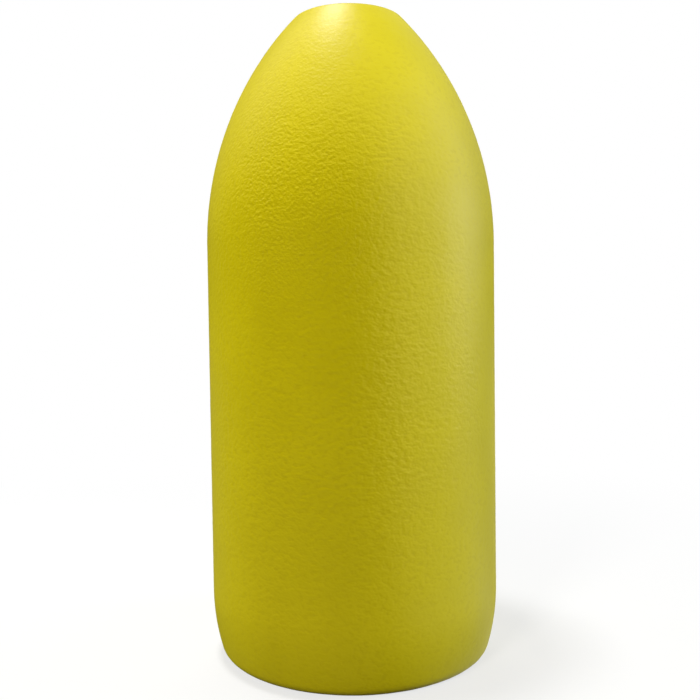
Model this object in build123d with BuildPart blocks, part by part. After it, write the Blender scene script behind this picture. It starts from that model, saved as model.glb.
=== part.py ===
from build123d import *
import os

# A bullet-shaped trap buoy. A moulded foam float sits on a plastic line tube, and a flanged ferrule
# on each end of the tube holds the foam between them and leads the trap line in and out.
# Sizes are in millimetres. +Z runs up the line bore, and the origin is at the middle of the base.

# Foam float
float_dia = 127.0
float_height = 279.4
nose_length = 99.4  # height of the curved nose, above the straight side
nose_face_dia = 47.5  # flat end of the nose, out to its sharp corner
nose_edge_radius = 3.0
base_turn_height = 29.0  # below this the side draws in towards the base
base_face_dia = 117.4  # flat base, out to its sharp corner
base_edge_radius = 6.0

# Line tube
line_bore_dia = 16.0  # clear way for the trap line, the same from end to end
tube_wall = 1.5
tube_lead_in = 0.5  # chamfer that starts the tube into its sockets

# Ferrules
mouth_depth = 4.0  # from the ferrule's face to the end of the tube
mouth_radius = 2.5  # bell mouth that the line bears on
socket_depth = 14.0  # length of tube inside the ferrule
socket_wall = 2.0
flange_width = 5.0  # flange beyond the socket
flange_thickness = 3.0
flange_edge_radius = 1.0
ferrule_inset = 0.5  # the ferrule's face lies this far inside the float's end

# Clearances, on the radius
glue_gap = 0.1  # tube in its sockets
foam_gap = 0.2  # foam round the tube and the ferrules

# Radii and heights that follow from those
float_radius = float_dia / 2
nose_start = float_height - nose_length
tube_bore_radius = line_bore_dia / 2
tube_radius = tube_bore_radius + tube_wall
socket_bore_radius = tube_radius + glue_gap
socket_radius = socket_bore_radius + socket_wall
flange_radius = socket_radius + flange_width
ferrule_length = mouth_depth + socket_depth
tube_start = ferrule_inset + mouth_depth
tube_length = float_height - 2 * tube_start

# The float's two ends, each with its Z axis pointing out of the float
nose_end = Plane(origin=(0, 0, float_height), x_dir=(1, 0, 0), z_dir=(0, 0, 1))
base_end = Plane(origin=(0, 0, 0), x_dir=(1, 0, 0), z_dir=(0, 0, -1))

# Foam float: half of its outline turned round the bore, then the edges of both ends rounded
with BuildPart() as foam_float:
    base_corner = (base_face_dia / 2, 0)
    side_foot = (float_radius, base_turn_height)
    side_top = (float_radius, nose_start)
    nose_corner = (nose_face_dia / 2, float_height)
    with BuildSketch(Plane.XZ):
        with BuildLine():
            Line((0, 0), base_corner)
            TangentArc(side_foot, base_corner, tangent=(0, -1))
            Line(side_foot, side_top)
            TangentArc(side_top, nose_corner, tangent=(0, 1))
            Polyline(nose_corner, (0, float_height), (0, 0))
        make_face()
    revolve(axis=Axis.Z)
    fillet(foam_float.edges().filter_by(GeomType.CIRCLE).sort_by(Axis.Z)[-1], nose_edge_radius)
    fillet(foam_float.edges().filter_by(GeomType.CIRCLE).sort_by(Axis.Z)[0], base_edge_radius)
    # Stepped bore: the tube right through, and at each end a seat for the socket and its flange
    with Locations(nose_end):
        Hole(tube_radius + foam_gap)
    with Locations(nose_end, base_end):
        CounterBoreHole(
            radius=socket_radius + foam_gap,
            counter_bore_radius=flange_radius + foam_gap,
            counter_bore_depth=ferrule_inset + flange_thickness,
            depth=ferrule_inset + ferrule_length,
        )

# Line tube: a length of plain pipe between the two ferrules' shoulders
with BuildPart() as line_tube:
    with BuildSketch(Plane.XY.offset(tube_start)):
        Circle(tube_radius)
        Circle(tube_bore_radius, mode=Mode.SUBTRACT)
    extrude(amount=tube_length)
    tube_outside = line_tube.faces().filter_by(GeomType.CYLINDER).sort_by(SortBy.AREA)[-1]
    chamfer(tube_outside.edges().filter_by(GeomType.CIRCLE), tube_lead_in)

pieces = {"foam_float": foam_float, "line_tube": line_tube}

# Ferrules: the same turned moulding at both ends, drawn from its face inwards
for name, end in (("nose_ferrule", nose_end), ("base_ferrule", base_end)):
    section_plane = Plane(
        origin=end.origin - end.z_dir * ferrule_inset,
        x_dir=end.x_dir,
        z_dir=end.x_dir.cross(end.z_dir),
    )
    with BuildPart() as ferrule:
        with BuildSketch(section_plane) as ferrule_section:
            with BuildLine():
                Polyline(
                    (tube_bore_radius, 0),
                    (flange_radius, 0),
                    (flange_radius, -flange_thickness),
                    (socket_radius, -flange_thickness),
                    (socket_radius, -ferrule_length),
                    (socket_bore_radius, -ferrule_length),
                    (socket_bore_radius, -mouth_depth),
                    (tube_bore_radius, -mouth_depth),
                    close=True,
                )
            make_face()
            mouth, rim = ferrule_section.vertices().group_by(Axis.Y)[-1].sort_by(Axis.X)
            fillet(mouth, mouth_radius)
            fillet(rim, flange_edge_radius)
        revolve(axis=Axis.Z)
    pieces[name] = ferrule

os.makedirs("parts", exist_ok=True)
for name, piece in pieces.items():
    piece.part.label = name
    export_step(piece.part, f"parts/{name}.step")
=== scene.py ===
import math

import bmesh
import bpy
from mathutils import Matrix, Vector


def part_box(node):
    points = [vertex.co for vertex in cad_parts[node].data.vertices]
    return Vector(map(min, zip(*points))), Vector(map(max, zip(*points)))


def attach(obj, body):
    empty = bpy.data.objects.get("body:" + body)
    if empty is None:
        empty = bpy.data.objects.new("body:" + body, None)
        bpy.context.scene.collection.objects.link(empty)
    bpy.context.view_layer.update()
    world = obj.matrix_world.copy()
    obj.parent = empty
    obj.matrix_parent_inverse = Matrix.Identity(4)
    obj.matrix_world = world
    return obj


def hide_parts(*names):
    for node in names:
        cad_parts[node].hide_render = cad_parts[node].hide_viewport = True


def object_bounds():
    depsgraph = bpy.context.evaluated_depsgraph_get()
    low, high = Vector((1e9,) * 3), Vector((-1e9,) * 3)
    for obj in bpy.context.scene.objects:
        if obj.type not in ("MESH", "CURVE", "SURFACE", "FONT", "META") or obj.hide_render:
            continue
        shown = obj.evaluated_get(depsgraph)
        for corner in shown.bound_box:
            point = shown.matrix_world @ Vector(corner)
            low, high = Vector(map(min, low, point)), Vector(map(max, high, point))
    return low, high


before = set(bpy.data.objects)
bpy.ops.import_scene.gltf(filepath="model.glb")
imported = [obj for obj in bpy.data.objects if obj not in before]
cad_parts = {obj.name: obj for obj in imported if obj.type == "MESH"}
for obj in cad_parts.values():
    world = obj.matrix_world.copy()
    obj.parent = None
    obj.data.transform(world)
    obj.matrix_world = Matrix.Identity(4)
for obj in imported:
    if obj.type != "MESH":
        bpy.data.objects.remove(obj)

mm = 0.001
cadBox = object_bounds()  # before anything is dressed, so this is the CAD box
print("frame loaded:", ", ".join(sorted(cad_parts)))


class Wire:
    # an output of a node, which can stand in a Python expression
    def __init__(self, board, socket):
        self.board = board
        self.socket = socket

    def maths(self, operation, first, second):
        return self.board.add("ShaderNodeMath", {"operation": operation}, {0: first, 1: second})

    def __add__(self, other):
        return self.maths("ADD", self, other)

    def __sub__(self, other):
        return self.maths("SUBTRACT", self, other)

    def __rsub__(self, other):
        return self.maths("SUBTRACT", other, self)

    def __mul__(self, other):
        return self.maths("MULTIPLY", self, other)

    def __abs__(self):
        return self.board.add("ShaderNodeMath", {"operation": "ABSOLUTE"}, {0: self})

    __radd__ = __add__
    __rmul__ = __mul__


class ShaderBoard:
    # the node tree of one material or world, cleared
    def __init__(self, owner):
        owner.use_nodes = True
        self.tree = owner.node_tree
        self.tree.nodes.clear()

    def add(self, kind, settings=None, sockets=None, output=0):
        node = self.tree.nodes.new(kind)
        for name, value in (settings or {}).items():
            setattr(node, name, value)
        for key, value in (sockets or {}).items():
            if isinstance(value, Wire):
                self.tree.links.new(value.socket, node.inputs[key])
            else:
                node.inputs[key].default_value = value
        return Wire(self, node.outputs[output]) if node.outputs else None

    def mixColour(self, share, first, second):  # a Mix node's colours are sockets 6 and 7, and output 2
        return self.add("ShaderNodeMix", {"data_type": "RGBA"}, {0: share, 6: first, 7: second}, 2)

    def between(self, value, fromLow, fromHigh, toLow, toHigh):  # clamped at both ends
        ends = {"Value": value, 1: fromLow, 2: fromHigh, 3: toLow, 4: toHigh}
        return self.add("ShaderNodeMapRange", {"interpolation_type": "SMOOTHSTEP"}, ends)

    def grain(self, place, pitch, detail):  # noise from 0 to 1, one lump per pitch
        sockets = {"Vector": place, "Scale": 1 / pitch, "Detail": detail}
        return self.add("ShaderNodeTexNoise", {"noise_dimensions": "3D"}, sockets)


grainMiddle = 0.5  # noise lies about this


def newFinish(name):
    material = bpy.data.materials.new(name)
    board = ShaderBoard(material)
    place = board.add("ShaderNodeTexCoord", output="Object")
    return material, board, place


def closeFinish(board, shader):
    board.add("ShaderNodeOutputMaterial", None, {"Surface": shader})


def newPiece(name, bm):
    mesh = bpy.data.meshes.new(name)
    bm.to_mesh(mesh)
    bm.free()
    piece = bpy.data.objects.new(name, mesh)
    bpy.context.scene.collection.objects.link(piece)
    return piece


# Foam float: its outline is drawn as one line of edges and spun round the line bore

foamFloat = {
    "noseLength": 99.4 * mm,  # curved nose above the straight side
    "noseFace": 47.5 * mm,  # across the flat end of the nose, to its sharp corner
    "noseEdge": 3.0 * mm,
    "baseTurn": 29.0 * mm,  # below this the side draws in
    "baseFace": 117.4 * mm,  # across the flat base, to its sharp corner
    "baseEdge": 6.0 * mm,
    "ferruleGap": 0.2 * mm,  # foam clear of the ferrules and the tube
    "flangeDepth": 3.5 * mm,  # seats of the flange and the socket, from the flat end
    "socketDepth": 18.5 * mm,
    "socketWall": 2.1 * mm,  # the ferrule's socket and its glue, round the tube
    "seatEdge": 0.4 * mm,  # rounding where the seat breaks the flat end
    "seatEdgeSteps": 2,
    "segments": 360,
    "ringStep": 1.25 * mm,
    "faceStep": 5.0 * mm,  # wider rings on the flat base
    "noseEdgeStep": 0.42 * mm,
    "weld": 0.01 * mm,
    "sharpAngle": math.radians(40),
    "peelPitch": 4.5 * mm,  # orange peel that is wide enough to model
    "peelDetail": 1,
    "peelDepth": 0.10 * mm,
    "peelMargin": 2 * mm,  # smooth foam left round each flange
}


def runTo(bm, vert, reach, step):
    count = max(1, round((reach - vert.co).length / step))
    stride = (reach - vert.co) / count
    for _ in range(count):
        vert = bmesh.ops.extrude_vert_indiv(bm, verts=[vert])["verts"][0]
        bmesh.ops.translate(bm, verts=[vert], vec=stride)
    return vert


def roundTo(bm, vert, centre, angle, step, leastSteps=4):
    steps = max(leastSteps, round((vert.co - centre).length * angle / step))
    made = bmesh.ops.spin(
        bm, geom=[vert], cent=centre, axis=(0, -1, 0), angle=angle, steps=steps, use_duplicate=False
    )
    return [item for item in made["geom_last"] if isinstance(item, bmesh.types.BMVert)][0]


def drawFoam(sizes):
    low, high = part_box("foam_float")
    step = sizes["ringStep"]
    radius = (high.x - low.x) / 2
    height = high.z
    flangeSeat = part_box("nose_ferrule")[1].x + sizes["ferruleGap"]
    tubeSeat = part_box("line_tube")[1].x + sizes["ferruleGap"]
    socketSeat = tubeSeat + sizes["socketWall"]

    def onOutline(across, up):
        return Vector((across, 0, up))

    # nose: one arc, tangent to the side, with its end rounded over
    noseIn = radius - sizes["noseFace"] / 2
    noseArc = (noseIn**2 + sizes["noseLength"] ** 2) / (2 * noseIn)
    noseCentre = onOutline(radius - noseArc, height - sizes["noseLength"])
    noseRise = sizes["noseLength"] - sizes["noseEdge"]
    noseAngle = math.asin(noseRise / (noseArc - sizes["noseEdge"]))
    noseEdgeAcross = noseCentre.x + (noseArc - sizes["noseEdge"]) * math.cos(noseAngle)
    noseEdgeCentre = onOutline(noseEdgeAcross, height - sizes["noseEdge"])

    # base: the same, the other way up
    baseIn = radius - sizes["baseFace"] / 2
    baseArc = (baseIn**2 + sizes["baseTurn"] ** 2) / (2 * baseIn)
    baseCentre = onOutline(radius - baseArc, sizes["baseTurn"])
    baseDrop = sizes["baseTurn"] - sizes["baseEdge"]
    baseAngle = math.asin(baseDrop / (baseArc - sizes["baseEdge"]))
    baseEdgeAcross = baseCentre.x + (baseArc - sizes["baseEdge"]) * math.cos(baseAngle)
    baseEdgeCentre = onOutline(baseEdgeAcross, sizes["baseEdge"])

    bm = bmesh.new()
    start = bm.verts.new(onOutline(flangeSeat, 0))
    vert = runTo(bm, start, onOutline(baseEdgeAcross, 0), sizes["faceStep"])
    vert = roundTo(bm, vert, baseEdgeCentre, math.pi / 2 - baseAngle, step)
    vert = roundTo(bm, vert, baseCentre, baseAngle, step)
    vert = runTo(bm, vert, onOutline(radius, height - sizes["noseLength"]), step)
    vert = roundTo(bm, vert, noseCentre, noseAngle, step)
    vert = roundTo(bm, vert, noseEdgeCentre, math.pi / 2 - noseAngle, sizes["noseEdgeStep"])
    # down the stepped bore and back to the start, each stretch as one edge
    bore = [
        (flangeSeat, height),
        (flangeSeat, height - sizes["flangeDepth"]),
        (socketSeat, height - sizes["flangeDepth"]),
        (socketSeat, height - sizes["socketDepth"]),
        (tubeSeat, height - sizes["socketDepth"]),
        (tubeSeat, sizes["socketDepth"]),
        (socketSeat, sizes["socketDepth"]),
        (socketSeat, sizes["flangeDepth"]),
        (flangeSeat, sizes["flangeDepth"]),
        (flangeSeat, 0),
    ]
    for across, up in bore:
        vert = runTo(bm, vert, onOutline(across, up), height)
    bmesh.ops.spin(
        bm,
        geom=bm.verts[:] + bm.edges[:],
        cent=(0, 0, 0),
        axis=(0, 0, 1),
        angle=2 * math.pi,
        steps=sizes["segments"],
        use_merge=True,
    )
    bmesh.ops.remove_doubles(bm, verts=bm.verts, dist=sizes["weld"])
    bmesh.ops.recalc_face_normals(bm, faces=bm.faces)

    def onSeatEdge(edge):
        atSeat = all(abs(v.co.xy.length - flangeSeat) < sizes["weld"] for v in edge.verts)
        atEnd = all(min(v.co.z, height - v.co.z) < sizes["weld"] for v in edge.verts)
        return atSeat and atEnd

    bmesh.ops.bevel(
        bm,
        geom=[edge for edge in bm.edges if onSeatEdge(edge)],
        offset=sizes["seatEdge"],
        affect="EDGES",
        segments=sizes["seatEdgeSteps"],
        profile=0.5,
        material=-1,
    )
    for face in bm.faces:
        face.smooth = True
    piece = newPiece("foam_skin", bm)
    piece.data.set_sharp_from_angle(angle=sizes["sharpAngle"])

    # the skin takes the peel, the bore and the foam next to it don't
    skin = piece.vertex_groups.new(name="skin")
    smooth = flangeSeat + sizes["peelMargin"]
    skin.add([v.index for v in piece.data.vertices if v.co.xy.length > smooth], 1.0, "REPLACE")
    peel = bpy.data.textures.new("foamPeel", "CLOUDS")
    peel.noise_scale = sizes["peelPitch"]
    peel.noise_depth = sizes["peelDetail"]
    dent = piece.modifiers.new("orangePeel", "DISPLACE")
    dent.texture = peel
    dent.texture_coords = "LOCAL"
    dent.vertex_group = "skin"
    dent.mid_level = 1.0  # dents only, so the float keeps its size
    dent.strength = sizes["peelDepth"]
    return piece


def foamFinish():
    look = {
        "colour": (0.655, 0.560, 0.0020, 1),
        "paleColour": (0.675, 0.578, 0.0025, 1),
        # painted shade: a darker colour laid in the dents of the crease noise
        "paintedCreaseShade": (0.640, 0.541, 0.0018, 1),
        "cloudPitch": 25 * mm,
        "cloudEnds": (0.35, 0.65),  # noise over which the colour turns pale
        "creaseAcross": 2.2 * mm,  # the creases lie across the bore, wider than they are high
        "creaseUp": 1.65 * mm,
        "creaseShadeEnds": (0.30, 0.50),  # noise over which the painted shade in a crease fades out
        "pitPitch": 1.25 * mm,  # finer pits, which take the place of most creases on the shoulder
        # each grain below is a share of this depth
        # its ends are where that share starts and stops changing
        "grainDepth": 0.41 * mm,
        "footGrain": 0.45,
        "footEnds": (15 * mm, 95 * mm),
        "flankGrain": 0.38,  # creases towards the left and the right, where the skin is smoother
        "flankEnds": (6 * mm, 60 * mm),  # to either side of the deepest
        "deepestAt": -10 * mm,
        "shoulderGrain": 1.3,  # pits on the left, from the top of the straight side
        "shoulderEnds": (125 * mm, 175 * mm),
        "shoulderAt": -21.5 * mm,
        "shoulderReach": (5 * mm, 45 * mm),  # to either side of that
        "shoulderCreases": 0.3,
        "noseGrain": 0.92,  # the same pits, higher up
        "noseEnds": (172 * mm, 215 * mm),
        "tipGrain": 0.12,  # of both creases and pits
        "tipEnds": (200 * mm, 285 * mm),
        "roughness": 0.38,
        "roughSpread": 0.10,
        "specular": 0.5,
    }
    material, board, place = newFinish("foamSkin")
    across, rise = 1 / look["creaseAcross"], 1 / look["creaseUp"]
    stretched = board.add("ShaderNodeMapping", None, {"Vector": place, "Scale": (across, across, rise)})
    crease = board.grain(stretched, pitch=1.0, detail=1.0)
    pit = board.grain(place, look["pitPitch"], detail=1.0)
    cloud = board.grain(place, look["cloudPitch"], detail=2.0)

    # how deep the creases and the pits are, from the foot to the tip and from side to side
    aside = board.add("ShaderNodeSeparateXYZ", None, {0: place}, "X")
    up = board.add("ShaderNodeSeparateXYZ", None, {0: place}, "Z")
    fromDeepest = abs(aside - look["deepestAt"])
    fromShoulder = abs(aside - look["shoulderAt"])
    footShare = board.between(up, *look["footEnds"], look["footGrain"], 1.0)
    flankShare = board.between(fromDeepest, *look["flankEnds"], 1.0, look["flankGrain"])
    aboveSide = board.between(up, *look["shoulderEnds"], 0.0, 1.0)
    shoulder = aboveSide * board.between(fromShoulder, *look["shoulderReach"], 1.0, 0.0)
    pitShare = board.between(up, *look["noseEnds"], look["shoulderGrain"], look["noseGrain"])
    tipShare = board.between(up, *look["tipEnds"], 1.0, look["tipGrain"])
    creases = footShare * flankShare * (1 - (1 - look["shoulderCreases"]) * shoulder) * crease
    pits = pitShare * shoulder * pit
    height = (creases + pits) * tipShare
    bump = board.add("ShaderNodeBump", None, {"Height": height, "Distance": look["grainDepth"]})

    pale = board.between(cloud, *look["cloudEnds"], 0.0, 1.0)
    # painted shade, darkest where the crease noise is lowest, in the dents
    creaseShadeShare = board.between(crease, *look["creaseShadeEnds"], 1.0, 0.0)
    body = board.mixColour(pale, look["colour"], look["paleColour"])
    shader = board.add("ShaderNodeBsdfPrincipled", None, {
        "Base Color": board.mixColour(creaseShadeShare, body, look["paintedCreaseShade"]),
        "Roughness": look["roughness"] + look["roughSpread"] * (cloud - grainMiddle),
        "Specular IOR Level": look["specular"],
        "Normal": bump,
    })
    closeFinish(board, shader)
    return material


foam = drawFoam(foamFloat)
foam.data.materials.append(foamFinish())
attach(foam, "root")
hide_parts("foam_float")
print("foam float:", len(foam.data.polygons), "faces")


# Ferrules and tube keep their CAD shapes

def ferruleFinish():
    look = {
        "colour": (0.014, 0.014, 0.015, 1),
        "paleColour": (0.026, 0.026, 0.028, 1),
        "cloudPitch": 6 * mm,
        "sparkPitch": 0.5 * mm,  # fine texture of the mould, on the flange
        "sparkDepth": 0.04 * mm,
        "mouthEnd": 9.5 * mm,  # from the axis of the bore; inside this the line keeps the mouth smooth
        "flangeStart": 12.0 * mm,
        "roughness": 0.52,
        "mouthRoughness": 0.27,
        "roughSpread": 0.15,
    }
    material, board, place = newFinish("ferrulePlastic")
    cloud = board.grain(place, look["cloudPitch"], detail=3.0)
    spark = board.grain(place, look["sparkPitch"], detail=2.0)
    flatten = {0: place, 1: (1, 1, 0)}
    level = board.add("ShaderNodeVectorMath", {"operation": "MULTIPLY"}, flatten, "Vector")
    away = board.add("ShaderNodeVectorMath", {"operation": "LENGTH"}, {0: level}, "Value")
    ends = (look["mouthEnd"], look["flangeStart"])
    texture = spark * board.between(away, *ends, 0.0, 1.0)
    bump = board.add("ShaderNodeBump", None, {"Height": texture, "Distance": look["sparkDepth"]})
    roughness = board.between(away, *ends, look["mouthRoughness"], look["roughness"])
    shader = board.add("ShaderNodeBsdfPrincipled", None, {
        "Base Color": board.mixColour(cloud, look["colour"], look["paleColour"]),
        "Roughness": roughness + look["roughSpread"] * (cloud - grainMiddle),
        "Normal": bump,
    })
    closeFinish(board, shader)
    return material


def tubeFinish():
    look = {
        "colour": (0.58, 0.58, 0.54, 1),
        "paleColour": (0.66, 0.66, 0.62, 1),
        "streakPitch": 0.8 * mm,  # streaks from the die run along the tube
        "streakStretch": 50,
        "streakDepth": 0.03 * mm,
        "roughness": 0.38,
        "roughSpread": 0.15,
    }
    material, board, place = newFinish("tubePlastic")
    stretch = (1, 1, 1 / look["streakStretch"])
    drawn = board.add("ShaderNodeMapping", None, {"Vector": place, "Scale": stretch})
    streak = board.grain(drawn, look["streakPitch"], detail=2.0)
    bump = board.add("ShaderNodeBump", None, {"Height": streak, "Distance": look["streakDepth"]})
    shader = board.add("ShaderNodeBsdfPrincipled", None, {
        "Base Color": board.mixColour(streak, look["colour"], look["paleColour"]),
        "Roughness": look["roughness"] + look["roughSpread"] * (streak - grainMiddle),
        "Normal": bump,
    })
    closeFinish(board, shader)
    return material


def dress(node, material):
    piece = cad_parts[node]
    piece.data.materials.clear()
    piece.data.materials.append(material)


blackFerrule = ferruleFinish()
dress("nose_ferrule", blackFerrule)
dress("base_ferrule", blackFerrule)
dress("line_tube", tubeFinish())
print("ferrules and tube dressed")


# Studio: white to the lens, with soft lamps to light the float and glows for its skin to mirror

studio = {
    "floorReach": 8.0,
    "floorSegments": 64,
    "floorSeen": 0.80,  # grey of the floor to the lens, about white under these lamps
    "floorBounce": 0.10,  # grey of the floor as it lights the float
    "fadeFrom": 0.08,  # metres from the bore, where the floor starts to fade to white
    "fadeTo": 0.50,
    "fadeLeast": 0.70,
    "floorShine": 0.10,  # brightness of the floor as the skin mirrors it, without the glows on it
    "shineFrom": 0.07,  # metres from the bore; nearer than this a painted shadow of the float darkens the floor as the skin mirrors it
    "shineTo": 0.16,
    "shineLeast": 0.45,
    "roomLight": 0.02,
}

# what shiny surfaces mirror: full inside the core, gone past the fringe, both in degrees from the middle
floorGlows = {
    "wall": dict(bearing=68, lift=0, core=8, fringe=53, glow=0.85),
    "farWall": dict(bearing=140, lift=0, core=10, fringe=45, glow=0.18),
}
skyGlows = {
    "wall": dict(bearing=70, lift=8, core=5, fringe=63, glow=2.7),
    "farWall": dict(bearing=130, lift=40, core=5, fringe=50, glow=0.42),
    "ceiling": dict(bearing=270, lift=60, core=5, fringe=45, glow=1.0),
    "farCeiling": dict(bearing=225, lift=40, core=5, fringe=45, glow=0.20),
    "overhead": dict(bearing=12, lift=62, core=5, fringe=40, glow=1.0),
    "backdrop": dict(bearing=180, lift=0, core=8, fringe=23, glow=0.7),
}

# reach is in metres from the middle of the float
# at level 1 a face there that looks straight at the lamp renders as its colour is written
lamps = {
    "ceiling": dict(bearing=270, lift=82, reach=1.2, size=0.20, level=0.87),
    "window": dict(bearing=88, lift=8, reach=1.2, size=0.50, level=0.69, tint=(0.94, 1, 1)),
    "front": dict(bearing=333, lift=20, reach=1.2, size=0.25, level=0.58, tint=(1, 0.95, 0.9)),
    "left": dict(bearing=246, lift=-11.5, reach=0.45, size=0.08, level=0.47, tint=(0.95, 1, 1)),
    "back": dict(bearing=180, lift=20, reach=1.2, size=0.60, level=0.35),
    "bulb": dict(bearing=215, lift=76, reach=1.2, size=0.30, level=0.19, mirrored=True),
}


def wayTo(row):  # bearing is round from the lens, to the right; lift is up from level; both in degrees
    bearing = math.radians(row["bearing"])
    lift = math.radians(row["lift"])
    flat = math.cos(lift)
    return Vector((math.sin(bearing) * flat, -math.cos(bearing) * flat, math.sin(lift)))


def raysTo(board):  # what a ray comes from: the lens, a shiny or clear surface, or a dull one
    lens = board.add("ShaderNodeLightPath", output="Is Camera Ray")
    shine = board.add("ShaderNodeLightPath", output="Is Glossy Ray")
    through = board.add("ShaderNodeLightPath", output="Is Transmission Ray")
    dull = board.add("ShaderNodeLightPath", output="Is Diffuse Ray")
    return lens, shine + through, dull


def mirroredGlow(board, way, rows, start):
    total = start
    for row in rows.values():
        sockets = {0: way, 1: wayTo(row)}
        facing = board.add("ShaderNodeVectorMath", {"operation": "DOT_PRODUCT"}, sockets, "Value")
        edge = math.cos(math.radians(row["fringe"]))
        full = math.cos(math.radians(row["core"]))
        total = total + board.between(facing, edge, full, 0.0, row["glow"])
    return total


def layFloor():
    bm = bmesh.new()
    bmesh.ops.create_circle(
        bm, cap_ends=True, segments=studio["floorSegments"], radius=studio["floorReach"]
    )
    floor = newPiece("floor", bm)
    material, board, place = newFinish("paleFloor")
    away = board.add("ShaderNodeVectorMath", {"operation": "LENGTH"}, {0: place}, "Value")
    flat = board.add("ShaderNodeVectorMath", {"operation": "NORMALIZE"}, {0: place}, "Vector")
    lens, shine, dull = raysTo(board)
    fade = board.between(away, studio["fadeFrom"], studio["fadeTo"], studio["fadeLeast"], 1.0)
    # painted shadow: the floor's mirrored glow is dimmed near the float
    clear = board.between(away, studio["shineFrom"], studio["shineTo"], studio["shineLeast"], 1.0)
    mirrored = clear * mirroredGlow(board, flat, floorGlows, studio["floorShine"])
    tone = lens * studio["floorSeen"] + dull * studio["floorBounce"]
    paper = board.add("ShaderNodeBsdfDiffuse", None, {"Color": tone})
    white = board.add("ShaderNodeEmission", None, {"Color": (1, 1, 1, 1), "Strength": 1.0})
    whiteShare = lens * fade + shine * mirrored
    shader = board.add("ShaderNodeMixShader", None, {0: whiteShare, 1: paper, 2: white})
    closeFinish(board, shader)
    floor.data.materials.append(material)


def hangSky():
    sky = bpy.data.worlds.new("sky")
    bpy.context.scene.world = sky
    sky.cycles.sampling_method = "NONE"  # so that each ray knows what it comes from
    board = ShaderBoard(sky)
    way = board.add("ShaderNodeTexCoord", output="Generated")  # on a world, the ray's own way
    lens, shine, dull = raysTo(board)
    light = lens + dull * studio["roomLight"] + shine * mirroredGlow(board, way, skyGlows, 0.0)
    shader = board.add("ShaderNodeBackground", None, {"Color": (1, 1, 1, 1), "Strength": light})
    board.add("ShaderNodeOutputWorld", None, {"Surface": shader})


def hangLamps():
    middle = (cadBox[0] + cadBox[1]) / 2
    for name, row in lamps.items():
        mirrored = row.get("mirrored", False)
        lamp = bpy.data.lights.new(name, "AREA")
        lamp.shape = "SQUARE"
        lamp.size = row["size"]
        lamp.energy = row["level"] * (math.pi * row["reach"]) ** 2
        lamp.color = row.get("tint", (1, 1, 1))
        way = wayTo(row)
        hung = bpy.data.objects.new(name, lamp)
        hung.location = middle + way * row["reach"]
        hung.rotation_euler = way.to_track_quat("Z", "Y").to_euler()
        hung.visible_camera = False
        hung.visible_glossy = mirrored  # the glows stand in for the lamps that light the float
        hung.visible_diffuse = not mirrored
        bpy.context.scene.collection.objects.link(hung)


layFloor()
hangSky()
hangLamps()
print("studio set")


# Camera: a little above the middle of the float, looking slightly down

viewpoint = {
    "place": Vector((-0.83, -384.8, 148.2)) * mm,
    "down": math.radians(2.193),
    "roll": math.radians(-0.741),
    "lens": 43.92,  # in millimetres, as is the sensor
    "sensor": 36,
    "nearest": 10 * mm,
}


def setCamera():
    camera = bpy.data.cameras.new("lens")
    camera.lens = viewpoint["lens"]
    camera.sensor_width = viewpoint["sensor"]
    camera.clip_start = viewpoint["nearest"]
    holder = bpy.data.objects.new("lens", camera)
    holder.matrix_world = (
        Matrix.Translation(viewpoint["place"])
        @ Matrix.Rotation(math.pi / 2 - viewpoint["down"], 4, "X")
        @ Matrix.Rotation(viewpoint["roll"], 4, "Z")
    )
    bpy.context.scene.collection.objects.link(holder)
    bpy.context.scene.camera = holder


setCamera()
bpy.context.scene.view_settings.view_transform = "Standard"
print("camera set")
